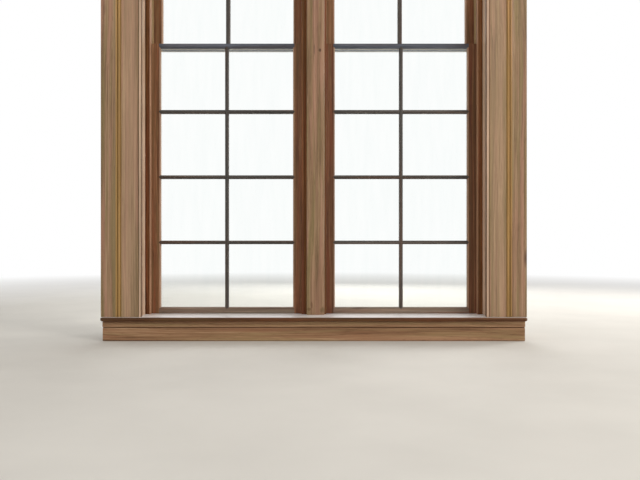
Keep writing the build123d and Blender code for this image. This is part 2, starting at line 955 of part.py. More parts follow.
# Stile, with mortises for the rails, the cord's groove and the pocket for its knot
def make_stile(sash, side):
    def place(s, t):
        return (sash.centre + side * (daylight_half_width + s), sash.room_face + t)

    foot = sash.daylight_bottom - sash.bottom_rail - (sash_thickness * sill_fall if sash.is_lower else 0)
    top = sash.daylight_top + sash.top_rail
    edge_x = sash.centre + side * sash_half_width
    groove_x = edge_x - side * cord_groove_depth / 2
    track = sash.room_face + sash_thickness / 2
    pocket_reach = sash_half_width - knot_place + knot_radius + knot_wall_gap
    with BuildPart() as stile:
        with BuildSketch(Plane.XY.offset(foot)):
            with BuildLine():
                draw_rebated_member(place, stile_width)
            make_face()
        extrude(amount=top - foot)
        if sash.is_lower:
            split(bisect_by=sill_bevel(), keep=Keep.TOP)
        with Locations((groove_x, track, top - knot_drop / 2)):
            Box(cord_groove_depth, cord_groove_width, knot_drop, mode=Mode.SUBTRACT)
        with Locations((groove_x, track, top - wheel_groove_length / 2)):
            Box(cord_groove_depth, wheel_groove_width, wheel_groove_length, mode=Mode.SUBTRACT)
        with BuildSketch(Plane.YZ.offset(edge_x)):
            with Locations((track, top - knot_drop)):
                Circle(knot_radius + knot_gap)
        extrude(amount=-side * pocket_reach, mode=Mode.SUBTRACT)
        for low, high in (bottom_tenon(sash, side), top_tenon(sash, side)):
            add(make_board(low, high), mode=Mode.SUBTRACT)
    return stile.part


# Where the bevelled lips of the two meeting rails face each other, by height
def meeting_face(height):
    rise = (height - upper_sash_bottom) / meeting_rail_height
    return bevel_lean * (2 * rise - 1)


# The lip that a meeting rail holds out towards the other sash, between the parting beads
def meeting_lip_points(sash):
    if sash.is_lower:
        edge = sash.room_face + sash_thickness
        low, high, gap = lower_daylight_top, lower_sash_top, -bevel_gap / 2
    else:
        edge = sash.room_face
        low, high, gap = upper_sash_bottom, upper_daylight_bottom - sticking_width, bevel_gap / 2
    return [
        (edge, low),
        (meeting_face(low) + gap, low),
        (meeting_face(high) + gap, high),
        (edge, high),
    ]


# Rail, coped over the stiles' mouldings, with its tenons
def make_rail(sash, stiles, is_bottom):
    sight = sash.daylight_bottom if is_bottom else sash.daylight_top
    outward = -1 if is_bottom else 1
    width = sash.bottom_rail if is_bottom else sash.top_rail
    is_meeting = is_bottom != sash.is_lower
    bevel_room = sash_thickness * sill_fall if sash.is_lower and is_bottom else 0
    reach = daylight_half_width + sticking_width + cope_overrun
    lip_reach = bead_reach - lip_end_gap
    tenon = bottom_tenon if is_bottom else top_tenon

    def place(s, t):
        return (sash.room_face + t, sight + outward * s)

    with BuildPart() as rail:
        with BuildSketch(Plane.YZ.offset(sash.centre - reach)):
            with BuildLine():
                if is_meeting and sash.is_lower:
                    draw_grooved_member(place, width)
                else:
                    draw_rebated_member(place, width + bevel_room)
            make_face()
        extrude(amount=2 * reach)
        if sash.is_lower and is_bottom:
            split(bisect_by=sill_bevel(), keep=Keep.TOP)
        for stile in stiles:
            add(stile, mode=Mode.SUBTRACT)
        if is_meeting:
            with BuildSketch(Plane.YZ.offset(sash.centre - lip_reach)):
                with BuildLine():
                    Polyline(meeting_lip_points(sash), close=True)
                make_face()
            extrude(amount=2 * lip_reach)
        for _, side in sides:
            add(make_board(*tenon(sash, side)))
    return rail.part


# Half of a muntin's section in the sketch's own plane: x from the middle, y from the room face
def draw_muntin_half(muntin_width):
    half = muntin_width / 2

    def place(s, t):
        return (half - s, t)

    draw_sticking(place)
    Polyline(
        place(0, glass_seat),
        place(rebate_width, glass_seat),
        place(rebate_width, sash_thickness),
        (0, sash_thickness),
        (0, 0),
        place(sticking_width, 0),
    )


def make_muntin(plane, length, muntin_width, neighbours):
    with BuildPart() as muntin:
        with BuildSketch(plane):
            with BuildLine():
                draw_muntin_half(muntin_width)
            make_face()
            mirror(about=Plane.YZ)
        extrude(amount=length)
        for neighbour in neighbours:
            add(neighbour, mode=Mode.SUBTRACT)
    return muntin.part


# One upright, coped over the rails, and short cross bars coped over the upright and the stiles
def make_muntins(sash, stiles, rails):
    overrun = sticking_width + cope_overrun
    foot = sash.daylight_bottom - overrun
    upright_plane = Plane(
        origin=(sash.centre, sash.room_face, foot), x_dir=(1, 0, 0), z_dir=(0, 0, 1)
    )
    upright_length = sash.daylight_top + overrun - foot
    upright = make_muntin(upright_plane, upright_length, sash.muntin_width, rails)
    outer = daylight_half_width + overrun
    muntins = [upright]
    for height in sash.bar_heights:
        for (_, side), stile in zip(sides, stiles):
            start_x = sash.centre + (0 if side > 0 else -outer)
            plane = Plane(
                origin=(start_x, sash.room_face, height), x_dir=(0, 0, -1), z_dir=(1, 0, 0)
            )
            muntins.append(
                make_muntin(plane, outer, sash.muntin_width, [upright, stile])
            )
    return muntins


# Panes, a little smaller than their rebates
def make_panes(sash):
    half_bar = sash.muntin_width / 2
    cover = rebate_width - glass_edge_gap
    front = sash.room_face + glass_seat
    lows = [sash.daylight_bottom] + [height + half_bar for height in sash.bar_heights]
    highs = [height - half_bar for height in sash.bar_heights] + [sash.daylight_top]
    panes = []
    for low, high in zip(lows, highs):
        for _, side in sides:
            near, far = sorted((
                sash.centre + side * (half_bar - cover),
                sash.centre + side * (daylight_half_width + cover),
            ))
            panes.append(
                make_board(
                    (near, front, low - cover),
                    (far, front + glass_thickness, high + cover),
                )
            )
    return panes


def save_sash(name, sash):
    stiles = [make_stile(sash, side) for _, side in sides]
    bottom_rail = make_rail(sash, stiles, True)
    top_rail = make_rail(sash, stiles, False)
    save_group(stiles, f"{name}_stiles")
    save(bottom_rail, f"{name}_bottom_rail")
    save(top_rail, f"{name}_top_rail")
    save_group(make_muntins(sash, stiles, [bottom_rail, top_rail]), f"{name}_muntins")
    save_group(make_panes(sash), f"{name}_panes")


# The four pulley stiles: window, side of the window, way the face looks, wheel size, weight form
Jamb = namedtuple("Jamb", "window side face_x facing pulley_radius is_mullion")
jambs = [
    Jamb("left", -1, -jamb_face, 1, jamb_pulley_radius, False),
    Jamb("left", 1, -mullion_half_width, -1, mullion_pulley_radius, True),
    Jamb("right", -1, mullion_half_width, 1, mullion_pulley_radius, True),
    Jamb("right", 1, jamb_face, -1, jamb_pulley_radius, False),
]
tracks = (
    ("lower", lower_track_middle, lower_sash_top, lower_weight_top),
    ("upper", upper_track_middle, upper_sash_top, upper_weight_top),
)


# Wall side and trim
sill = make_sill()
save(sill, "sill")
save(make_stool(), "stool")
save(make_apron(), "apron")
for name, side in sides:
    save(make_side_casing(side), f"{name}_casing")
    save(make_side_reveal_lining(side), f"{name}_reveal_lining")
save(make_head_casing(), "head_casing")
save(make_head_reveal_lining(), "head_reveal_lining")
save(make_mullion_casing(), "mullion_casing")

# Box frame
covers = [make_pocket_cover(jamb.face_x, jamb.facing) for jamb in jambs]
pulley_stiles = [
    make_pulley_stile(jamb.face_x, jamb.facing, jamb.pulley_radius, sill, cover)
    for jamb, cover in zip(jambs, covers)
]
save(pulley_stiles[0], "left_pulley_stile")
save_group(pulley_stiles[1:3], "mullion_pulley_stiles")
save(pulley_stiles[3], "right_pulley_stile")
save_group(covers, "pocket_covers")
save(make_head_jamb(), "head_jamb")
save_group(make_linings(stop_front, box_front, 0, sill), "inside_linings")
save_group(make_linings(box_back, outer_face, outer_lining_lap, sill), "outside_linings")
save_group([make_back_lining(side, sill) for _, side in sides], "back_linings")
save_group(make_parting_slips(), "parting_slips")
save_group(make_outer_mouldings(sill), "outer_mouldings")
window_centres = (-window_centre, window_centre)
save_group([bead for centre in window_centres for bead in make_stop_beads(centre)], "stop_beads")
save_group(
    [bead for centre in window_centres for bead in make_parting_beads(centre, sill)],
    "parting_beads",
)

# Sashes
for (window, _), centre in zip(sides, window_centres):
    save_sash(f"{window}_lower_sash", lower_sash(centre))
    save_sash(f"{window}_upper_sash", upper_sash(centre))

# Pulleys, weights and cords
cases = []
pins = []
weights = {}
cords = {}
for jamb in jambs:
    cord_out = track_half_width - cord_place
    sash_x = jamb.face_x + jamb.facing * cord_out
    knot_x = jamb.face_x + jamb.facing * (track_half_width - knot_place)
    axle_x = sash_x - jamb.facing * jamb.pulley_radius
    weight_x = axle_x - jamb.facing * jamb.pulley_radius
    place = "left" if jamb.side < 0 else "right"
    for track_name, track, sash_top, weight_top in tracks:
        cases.append(make_pulley_case(jamb.face_x, jamb.facing, track, jamb.pulley_radius))
        pins.append(make_pulley_pin(axle_x, track))
        wheel = make_pulley_wheel(axle_x, track, jamb.pulley_radius)
        save(wheel, f"{jamb.window}_{track_name}_{place}_pulley_wheel")
        sash_name = f"{jamb.window}_{track_name}"
        weight = make_weight(weight_x, track, weight_top, jamb.is_mullion)
        weights.setdefault(sash_name, []).append(weight)
        cord = make_cord(
            sash_x, knot_x, axle_x, weight_x, track, sash_top - knot_drop,
            weight_top - weight_knot_depth,
        )
        cords.setdefault(sash_name, []).append(cord)
save_group(cases, "pulley_cases")
save_group(pins, "pulley_pins")
for sash_name in weights:
    save_group(weights[sash_name], f"{sash_name}_weights")
    save_group(cords[sash_name], f"{sash_name}_cords")
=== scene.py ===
from math import cos, pi, radians, sin

import bmesh
import bpy
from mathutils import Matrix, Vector, noise


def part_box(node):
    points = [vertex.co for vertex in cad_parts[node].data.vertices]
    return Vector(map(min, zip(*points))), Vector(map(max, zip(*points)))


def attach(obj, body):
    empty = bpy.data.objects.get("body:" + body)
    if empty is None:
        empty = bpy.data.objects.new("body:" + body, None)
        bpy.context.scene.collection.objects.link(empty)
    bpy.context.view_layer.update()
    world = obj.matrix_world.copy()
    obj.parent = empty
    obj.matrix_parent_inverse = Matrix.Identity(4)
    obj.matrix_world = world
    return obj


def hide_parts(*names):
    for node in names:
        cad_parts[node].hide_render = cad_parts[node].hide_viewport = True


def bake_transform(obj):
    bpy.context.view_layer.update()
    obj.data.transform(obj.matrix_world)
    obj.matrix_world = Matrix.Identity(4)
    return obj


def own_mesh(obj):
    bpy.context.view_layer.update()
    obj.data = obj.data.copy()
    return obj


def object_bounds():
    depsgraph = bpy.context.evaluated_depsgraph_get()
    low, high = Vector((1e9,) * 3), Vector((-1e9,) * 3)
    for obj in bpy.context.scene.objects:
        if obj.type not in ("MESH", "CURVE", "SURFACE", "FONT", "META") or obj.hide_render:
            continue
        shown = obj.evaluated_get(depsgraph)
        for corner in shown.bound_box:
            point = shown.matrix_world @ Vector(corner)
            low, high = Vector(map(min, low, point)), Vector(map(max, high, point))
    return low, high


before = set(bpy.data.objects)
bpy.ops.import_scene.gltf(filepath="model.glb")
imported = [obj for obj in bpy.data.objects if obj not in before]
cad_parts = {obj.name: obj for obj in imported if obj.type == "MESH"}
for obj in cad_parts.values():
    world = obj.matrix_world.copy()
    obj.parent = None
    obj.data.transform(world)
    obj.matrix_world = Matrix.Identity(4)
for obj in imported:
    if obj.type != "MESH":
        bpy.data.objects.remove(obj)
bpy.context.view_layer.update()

windows = ("left", "right")
levels = ("lower", "upper")
scene = bpy.context.scene


# Camera
# The photograph's horizon and vanishing point lie a little above and left of its middle, so the
# camera looks level along +Y with a small shift.
photo_width = 640
vanishing_x = 316.3
vanishing_y = 234
photo_middle = (320, 240)
camera_lens = 42.98
camera_sensor = 36.0
camera_distance = 3.400
camera_side_step = 0.011
camera_above_stool = 0.3698


def make_camera():
    casing_low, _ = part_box("left_casing")
    stool_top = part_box("stool")[1].z
    data = bpy.data.cameras.new("photo_camera")
    data.lens = camera_lens
    data.sensor_width = camera_sensor
    data.shift_x = (photo_middle[0] - vanishing_x) / photo_width
    data.shift_y = (vanishing_y - photo_middle[1]) / photo_width
    camera = bpy.data.objects.new("photo_camera", data)
    camera.location = (
        camera_side_step, casing_low.y - camera_distance, stool_top + camera_above_stool,
    )
    camera.rotation_euler = (radians(90), 0, 0)
    scene.collection.objects.link(camera)
    scene.camera = camera


# Shader helpers
normal_samples = 4


def linear(colour):
    """A colour written as sRGB shares of 255, as the linear one that shaders take."""
    parts = [c / 255 for c in colour]
    parts = [p / 12.92 if p <= 0.04045 else ((p + 0.055) / 1.055) ** 2.4 for p in parts]
    return (*parts, 1.0)


def add_node(tree, kind, inputs=None, **settings):
    node = tree.nodes.new("ShaderNode" + kind)
    for key, value in settings.items():
        setattr(node, key, value)
    for key, value in (inputs or {}).items():
        if isinstance(value, bpy.types.NodeSocket):
            tree.links.new(value, node.inputs[key])
        else:
            node.inputs[key].default_value = value
    return node


def calc(tree, operation, a, b=0.0):
    return add_node(tree, "Math", {0: a, 1: b}, operation=operation).outputs[0]


def plus(tree, a, b):
    return calc(tree, "ADD", a, b)


def minus(tree, a, b):
    return calc(tree, "SUBTRACT", a, b)


def times(tree, a, b):
    return calc(tree, "MULTIPLY", a, b)


def size_of(tree, value):
    return calc(tree, "ABSOLUTE", value)


def mix_colour(tree, factor, a, b, blend="MIX"):
    node = add_node(tree, "Mix", {0: factor, 6: a, 7: b}, data_type="RGBA", blend_type=blend)
    return node.outputs[2]


def lay_over(tree, factor, under, colour, blend="MIX"):
    """A colour written as sRGB shares, laid over what is under it."""
    return mix_colour(tree, factor, under, linear(colour), blend)


def mix_vector(tree, factor, a, b):
    node = add_node(tree, "Mix", {0: factor, 4: a, 5: b}, data_type="VECTOR")
    return node.outputs[1]


def fade(tree, value, low, high, to_low=0.0, to_high=1.0):
    """value carried from low..high to to_low..to_high, held at both ends."""
    node = add_node(
        tree, "MapRange",
        {"Value": value, "From Min": low, "From Max": high, "To Min": to_low, "To Max": to_high},
    )
    return node.outputs["Result"]


def ramp(tree, factor, places, shades):
    node = add_node(tree, "ValToRGB", {"Fac": factor})
    elements = node.color_ramp.elements
    while len(elements) < len(places):
        elements.new(0.5)
    for element, place, shade in zip(elements, places, shades):
        element.position = place
        element.color = linear(shade)
    return node.outputs["Color"]


def noise_at(tree, vector, scale=1.0, detail=3.0, roughness=0.5):
    node = add_node(
        tree, "TexNoise",
        {"Vector": vector, "Scale": scale, "Detail": detail, "Roughness": roughness},
    )
    return node.outputs["Fac"]


def cells_at(tree, vector, scale=1.0, feature="F1"):
    """Distance to the nearest cell's point, or to the cells' edges."""
    node = add_node(
        tree, "TexVoronoi", {"Vector": vector, "Scale": scale, "Randomness": 1.0}, feature=feature,
    )
    return node.outputs["Distance"]


def scaled(tree, vector, factors, shift=(0.0, 0.0, 0.0)):
    node = add_node(tree, "Mapping", {"Vector": vector, "Scale": factors, "Location": shift})
    return node.outputs["Vector"]


def in_corners(tree, reach, span, most):
    """Painted shade: 0 in the open and most in tight corners, from the ambient occlusion."""
    occlusion = add_node(tree, "AmbientOcclusion", {"Distance": reach}, samples=normal_samples)
    return fade(tree, occlusion.outputs["AO"], *span, to_high=most)


def rounded_edges(tree, radius):
    return add_node(tree, "Bevel", {"Radius": radius}, samples=normal_samples).outputs["Normal"]


def raised(tree, height, strength, depth, normal=None):
    """The surface's normal, bent by a height."""
    inputs = {"Height": height, "Strength": strength, "Distance": depth}
    if normal is not None:
        inputs["Normal"] = normal
    return add_node(tree, "Bump", inputs).outputs["Normal"]


def new_material(name):
    material = bpy.data.materials.new(name)
    material.use_nodes = True
    tree = material.node_tree
    tree.nodes.clear()
    shader = add_node(tree, "BsdfPrincipled")
    output = add_node(tree, "OutputMaterial")
    tree.links.new(shader.outputs["BSDF"], output.inputs["Surface"])
    return material, tree, shader


def joined(tree, axes):
    return add_node(tree, "CombineXYZ", axes).outputs["Vector"]


def own_place(tree):
    """The piece's own coordinates, in metres."""
    return add_node(tree, "TexCoord").outputs["Object"]


def place_axes(tree):
    parts = add_node(tree, "SeparateXYZ", {"Vector": own_place(tree)})
    return parts.outputs["X"], parts.outputs["Y"], parts.outputs["Z"]


# Where boards of one node change direction
window_centre = abs(sum(corner.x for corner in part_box("right_lower_sash_stiles"))) / 2


def from_middle(tree, x, per_window):
    """Distance from the middle line of the nearer window, or of the whole piece."""
    out = size_of(tree, x)
    return size_of(tree, minus(tree, out, window_centre)) if per_window else out


def cross_bar_mask(half_width):
    """1 on a sash's cross bars and 0 on its upright."""
    def mask(tree, x, z):
        return calc(tree, "GREATER_THAN", from_middle(tree, x, True), half_width)
    return mask


def head_mask(reach, corner_z, per_window):
    """1 on a frame's head and 0 on its sides, parted at the mitres."""
    def mask(tree, x, z):
        out = from_middle(tree, x, per_window)
        past = calc(tree, "MAXIMUM", minus(tree, out, reach), 0.0)
        return calc(tree, "GREATER_THAN", minus(tree, z, corner_z), past)
    return mask


def grain_space(tree, axes, grain, mask):
    """Coordinates with the grain along the third axis. Where mask is 1 the grain runs along X."""
    x, y, z = axes
    upright = {"X": x, "Y": y, "Z": z}
    level = {"X": z, "Y": y, "Z": x}
    if mask is None:
        return joined(tree, level if grain == "x" else upright)
    return mix_vector(tree, mask(tree, x, z), joined(tree, upright), joined(tree, level))


# Wood
# Each palette runs from the dark streaks to the pale ones, and names the two hues that a wood in it
# drifts to. A palette that only covers tops, worn and paler with a painted reflection, needs no
# hues.
tone_places = (0.10, 0.38, 0.60, 0.90)
palettes = {
    "trim": {
        "shades": ((104, 79, 54), (136, 107, 78), (153, 122, 92), (178, 148, 117)),
        "warm": (177, 131, 109), "cool": (135, 119, 76),
    },
    # Painted light: the trim wood in a paler copy, as the side linings look lit from outdoors
    "reveal": {
        "shades": ((172, 138, 110), (206, 174, 146), (218, 188, 160), (234, 208, 183)),
        "warm": (216, 176, 152), "cool": (200, 178, 146),
    },
    "apron": {
        "shades": ((96, 62, 38), (139, 103, 72), (162, 124, 90), (192, 155, 119)),
        "warm": (160, 115, 84), "cool": (157, 132, 91),
    },
    # Painted shade: darker than the apron, matching the weakly lit nose
    "stool": {
        "shades": ((62, 35, 17), (90, 56, 31), (106, 69, 40), (132, 92, 59)),
        "warm": (114, 68, 40), "cool": (96, 72, 43),
    },
    # Worn tops, near white with a painted reflection of the sky
    "bleached_with_reflection": {
        "shades": ((178, 163, 152), (209, 198, 191), (222, 214, 210), (236, 231, 229)),
    },
    # Painted shade: the trim wood in a darker copy, as if backlit
    "shaded_trim": {
        "shades": ((70, 37, 16), (101, 61, 31), (119, 76, 43), (150, 103, 66)),
        "warm": (131, 75, 48), "cool": (107, 75, 41),
    },
    # Painted shade: the sash wood in a darker copy
    "sash": {
        "shades": ((68, 37, 21), (98, 61, 38), (113, 74, 48), (144, 103, 73)),
        "warm": (126, 66, 42), "cool": (99, 77, 48),
    },
    # Painted light: the same sash wood in a paler, lit copy
    "pale_sash": {
        "shades": ((86, 53, 31), (123, 84, 55), (141, 99, 68), (171, 129, 95)),
        "warm": (147, 86, 57), "cool": (123, 99, 65),
    },
    # Painted reflection: the sash wood in a paler grey copy, as the room reflects in the bottom
    # rail
    "rail": {
        "shades": ((84, 64, 50), (116, 94, 78), (131, 109, 92), (158, 136, 118)),
        "warm": (130, 94, 76), "cool": (116, 109, 93),
    },
    # Painted shade: the sash wood in a darker, greyer copy, as if backlit
    "muntin": {
        "shades": ((45, 40, 36), (67, 60, 54), (83, 75, 69), (114, 104, 96)),
        "warm": (94, 69, 55), "cool": (72, 74, 73),
    },
    # Painted shade and reflection: the sash wood in a slate blue-grey copy, backlit with the sky
    # reflecting in it
    "meeting": {
        "shades": ((54, 54, 59), (74, 77, 85), (90, 93, 103), (114, 116, 126)),
        "warm": (90, 80, 80), "cool": (82, 92, 106),
    },
    "bare": {
        "shades": ((118, 88, 56), (158, 124, 85), (176, 142, 101), (202, 172, 130)),
        "warm": (186, 138, 96), "cool": (170, 152, 112),
    },
    "rough": {
        "shades": ((96, 76, 54), (132, 110, 82), (152, 130, 100), (178, 158, 128)),
        "warm": (158, 126, 94), "cool": (138, 130, 108),
    },
}
knot_brown = (66, 40, 24)

# Waves per metre across and along the grain
broad_streaks = (30.0, 30.0, 0.5)
medium_streaks = (150.0, 150.0, 1.6)
fine_streaks = (680.0, 680.0, 9.0)
hue_streaks = (52.0, 52.0, 1.5)
dark_flecks = (330.0, 330.0, 24.0)
branch_knots = (7.0, 7.0, 1.9)
lean_waves = (2.0, 2.0, 0.9)
small_waves = (14.0, 14.0, 4.5)
blot_rim_waves = (90.0, 90.0, 30.0)

# How far the grain leans and wavers, in metres
lean_reach = 0.035
small_reach = 0.005

# Each piece's own stretch of the noise
seed_steps = (1.0, 0.7, 1.3)
hue_seed_step = 2.1
hue_offset = 5.0

# A span is where an effect starts and where it is full, and its most is how strong it gets
noise_middle = 0.5
noise_span = (0.3, 0.7)
patch_span = (0.35, 0.65)
broad_share = 0.36
medium_share = 0.40
fine_share = 0.24
tone_span = (0.355, 0.645)
warm_span = (0.51, 0.65)
warm_most = 0.60
cool_span = (0.49, 0.35)
cool_most = 0.56
fleck_span = (0.64, 0.74)
fleck_most = 0.40
knot_span = (0.10, 0.035)
knot_most = 0.75
medium_height = 0.5
fine_height = 0.5
band_edges = (1.25, 0.75)
band_contrast = (0.80, 1.16)
blot_edges = (1.15, 0.45)
blot_wander = (-0.5, 0.5)
facing_back_span = (0.5, 0.6)
facing_up_span = (0.80, 0.97)
corner_reach = 0.010
corner_span = (0.75, 0.30)
corner_most = 0.25
gloss_spread = (-0.06, 0.08)
coat_roughness = 0.13
worn_coat_roughness = 0.32
dust_roughness = 0.25
edge_radius = 0.0011
grain_strength = 0.45
grain_depth = 0.0005

# Old paint outdoors
outdoor_paint = (200, 197, 184)
thin_paint = (218, 215, 204)
primer_grey = (150, 142, 128)
crack_grey = (112, 104, 92)
weathered_wood = (118, 104, 88)
paint_corner_shade_grey = (140, 132, 118)
brush_marks = (260.0, 260.0, 7.0)
dirt_patches = (6.0, 6.0, 2.0)
crack_cells = (95.0, 95.0, 8.0)
chip_patches = (38.0, 38.0, 9.0)
brush_most = 0.10
brush_height = 0.25
dirt_span = (0.40, 0.70)
dirt_most = 0.35
crack_span = (0.03, 0.0)
cracked_where_dirty = (0.48, 0.62)
chip_span = (0.665, 0.685)
paint_corner_reach = 0.02
paint_corner_span = (0.8, 0.3)
paint_corner_most = 0.5
paint_roughness = 0.58
paint_strength = 0.5
paint_depth = 0.0005


def wavering(tree, vector, shift):
    """The grain leans slowly from side to side along a board, with small waves on top."""
    slow = noise_at(tree, scaled(tree, vector, lean_waves, shift), detail=1.0)
    quick = noise_at(tree, scaled(tree, vector, small_waves, shift), detail=1.0)
    lean = times(tree, minus(tree, slow, noise_middle), lean_reach)
    wave = times(tree, minus(tree, quick, noise_middle), small_reach)
    off = plus(tree, lean, wave)
    step = joined(tree, {"X": off, "Y": off})
    return add_node(tree, "VectorMath", {0: vector, 1: step}, operation="ADD").outputs["Vector"]


def weathered_paint(tree, vector):
    """Colour and height of old paint: brushed, with cracks along the grain and a few chips."""
    brushed = noise_at(tree, scaled(tree, vector, brush_marks), detail=2.0)
    dirt = noise_at(tree, scaled(tree, vector, dirt_patches), detail=4.0)
    crack = cells_at(tree, scaled(tree, vector, crack_cells), feature="DISTANCE_TO_EDGE")
    cracked = times(tree, fade(tree, crack, *crack_span), fade(tree, dirt, *cracked_where_dirty))
    chip = noise_at(tree, scaled(tree, vector, chip_patches), detail=5.0, roughness=0.62)
    chipped = fade(tree, chip, *chip_span)
    thin = fade(tree, brushed, *patch_span, to_high=brush_most)
    colour = lay_over(tree, thin, linear(outdoor_paint), thin_paint)
    colour = lay_over(tree, fade(tree, dirt, *dirt_span, to_high=dirt_most), colour, primer_grey)
    colour = lay_over(tree, cracked, colour, crack_grey)
    colour = lay_over(tree, chipped, colour, weathered_wood)
    height = minus(tree, times(tree, brushed, brush_height), plus(tree, cracked, chipped))
    return colour, height


def band(tree, x, middle, half_width, per_window):
    """1 on a mirrored upright strip beside the middle line of the whole piece or of each window."""
    off = size_of(tree, minus(tree, from_middle(tree, x, per_window), middle))
    return fade(tree, off, *(half_width * edge for edge in band_edges))


def blot(tree, x, z, place, size, wander):
    """1 inside an uneven oval round a place in the window's plane."""
    across = calc(tree, "DIVIDE", minus(tree, x, place[0]), size[0])
    along = calc(tree, "DIVIDE", minus(tree, z, place[1]), size[1])
    square = plus(tree, times(tree, across, across), times(tree, along, along))
    return fade(tree, plus(tree, square, wander), *blot_edges)


def make_wood(name, palette, grain="z", mask=None, roughness=0.58, specular=0.3, coat=0.06,
              seed=0.0, paint_from_y=None, bare_behind=False, top_palette=None, knots=True,
              bands=(), blots=()):
    """Streaked softwood.

    From paint_from_y outdoors it is painted. bare_behind leaves its back unfinished. Where it looks
    up it takes top_palette. Each band is (distance, half width, colour, strength, per_window), and
    each blot is ((x, z), (half width, half height), colour, strength).
    """
    material, tree, shader = new_material(name)
    shift = tuple(seed * step for step in seed_steps)
    hue_shift = (seed * hue_seed_step, hue_offset, seed)
    axes = place_axes(tree)
    vector = wavering(tree, grain_space(tree, axes, grain, mask), shift)
    broad = noise_at(tree, scaled(tree, vector, broad_streaks, shift), detail=2.0)
    medium = noise_at(tree, scaled(tree, vector, medium_streaks, shift), detail=3.0, roughness=0.55)
    fine = noise_at(tree, scaled(tree, vector, fine_streaks, shift), detail=2.0, roughness=0.6)
    drift = noise_at(tree, scaled(tree, vector, hue_streaks, hue_shift), detail=2.0)

    # Streaks, drifting hues and dark flecks
    tone = plus(tree, times(tree, broad, broad_share), times(tree, medium, medium_share))
    tone = fade(tree, plus(tree, tone, times(tree, fine, fine_share)), *tone_span)
    colours = palettes[palette]
    darkest = colours["shades"][0]
    colour = ramp(tree, tone, tone_places, colours["shades"])
    warm = fade(tree, drift, *warm_span, to_high=warm_most)
    cool = fade(tree, drift, *cool_span, to_high=cool_most)
    colour = lay_over(tree, warm, colour, colours["warm"])
    colour = lay_over(tree, cool, colour, colours["cool"])
    height = plus(tree, times(tree, medium, medium_height), times(tree, fine, fine_height))
    flecks = noise_at(tree, scaled(tree, vector, dark_flecks, shift), detail=1.0)
    fleck = times(tree, fade(tree, flecks, *fleck_span), fleck_most)
    colour = lay_over(tree, fleck, colour, darkest)
    if knots:
        knot = fade(tree, cells_at(tree, scaled(tree, vector, branch_knots, shift)), *knot_span)
        colour = lay_over(tree, times(tree, knot, knot_most), colour, knot_brown)

    # Strips and spots, among them stains, painted highlights and painted shade
    x, y, z = axes
    for middle, half_width, strip_colour, strength, per_window in bands:
        strip = times(tree, band(tree, x, middle, half_width, per_window), strength)
        dark, pale = (linear([c * share for c in strip_colour]) for share in band_contrast)
        colour = mix_colour(tree, strip, colour, mix_colour(tree, tone, dark, pale))
    if blots:
        rim = noise_at(tree, scaled(tree, vector, blot_rim_waves))
        wander = fade(tree, rim, *noise_span, *blot_wander)
    for place, size, blot_colour, strength in blots:
        spot = times(tree, blot(tree, x, z, place, size, wander), strength)
        colour = lay_over(tree, spot, colour, blot_colour)

    # Unfinished backs, and tops with a worn finish under dust, paler with a painted reflection
    if bare_behind or top_palette is not None:
        normal = add_node(tree, "NewGeometry").outputs["Normal"]
        faces = add_node(tree, "SeparateXYZ", {"Vector": normal})
    if bare_behind:
        bare = ramp(tree, tone, tone_places, palettes["rough"]["shades"])
        colour = mix_colour(tree, fade(tree, faces.outputs["Y"], *facing_back_span), colour, bare)
    shader.inputs["Coat Weight"].default_value = coat
    shader.inputs["Coat Roughness"].default_value = coat_roughness
    if top_palette is not None:
        top = fade(tree, faces.outputs["Z"], *facing_up_span)
        # Painted reflection: upward faces take the paler worn palette
        worn = ramp(tree, tone, tone_places, palettes[top_palette]["shades"])
        colour = mix_colour(tree, top, colour, worn)
        tree.links.new(times(tree, top, coat), shader.inputs["Coat Weight"])
        tree.links.new(top, shader.inputs["Sheen Weight"])
        shader.inputs["Sheen Roughness"].default_value = dust_roughness
        shader.inputs["Coat Roughness"].default_value = worn_coat_roughness

    # Painted shade: darker in tight corners, where dust and old finish also gather
    corner_shade = in_corners(tree, corner_reach, corner_span, corner_most)
    colour = lay_over(tree, corner_shade, colour, darkest, "MULTIPLY")
    gloss = fade(tree, medium, *noise_span, *(roughness + spread for spread in gloss_spread))
    if paint_from_y is not None:
        paint, paint_height = weathered_paint(tree, vector)
        painted = calc(tree, "GREATER_THAN", y, paint_from_y)
        colour = mix_colour(tree, painted, colour, paint)
        height = add_node(tree, "Mix", {0: painted, 2: height, 3: paint_height}).outputs[0]
    rounded = rounded_edges(tree, edge_radius)
    bent = raised(tree, height, grain_strength, grain_depth, rounded)
    tree.links.new(colour, shader.inputs["Base Color"])
    tree.links.new(gloss, shader.inputs["Roughness"])
    tree.links.new(bent, shader.inputs["Normal"])
    tree.links.new(rounded, shader.inputs["Coat Normal"])
    shader.inputs["Specular IOR Level"].default_value = specular
    return material


def make_paint(name, grain="z", mask=None, seed=0.0):
    material, tree, shader = new_material(name)
    vector = grain_space(tree, place_axes(tree), grain, mask)
    vector = scaled(tree, vector, (1.0, 1.0, 1.0), (seed, seed, seed))
    colour, height = weathered_paint(tree, vector)
    # Painted shade: the paint turns a darker grey in tight corners
    corner_shade = in_corners(tree, paint_corner_reach, paint_corner_span, paint_corner_most)
    colour = lay_over(tree, corner_shade, colour, paint_corner_shade_grey, "MULTIPLY")
    bent = raised(tree, height, paint_strength, paint_depth, rounded_edges(tree, edge_radius))
    tree.links.new(colour, shader.inputs["Base Color"])
    tree.links.new(bent, shader.inputs["Normal"])
    shader.inputs["Roughness"].default_value = paint_roughness
    return material


# Metal
blotches_per_metre = 120.0
grit_per_metre = 1400.0
worn_span = (0.40, 0.62)
rust_span = (0.60, 0.72)
rust_most = 0.7
metal_gloss_spread = (-0.08, 0.15)
metal_edge_radius = 0.0005
metal_strength = 0.3
metal_depth = 0.0003

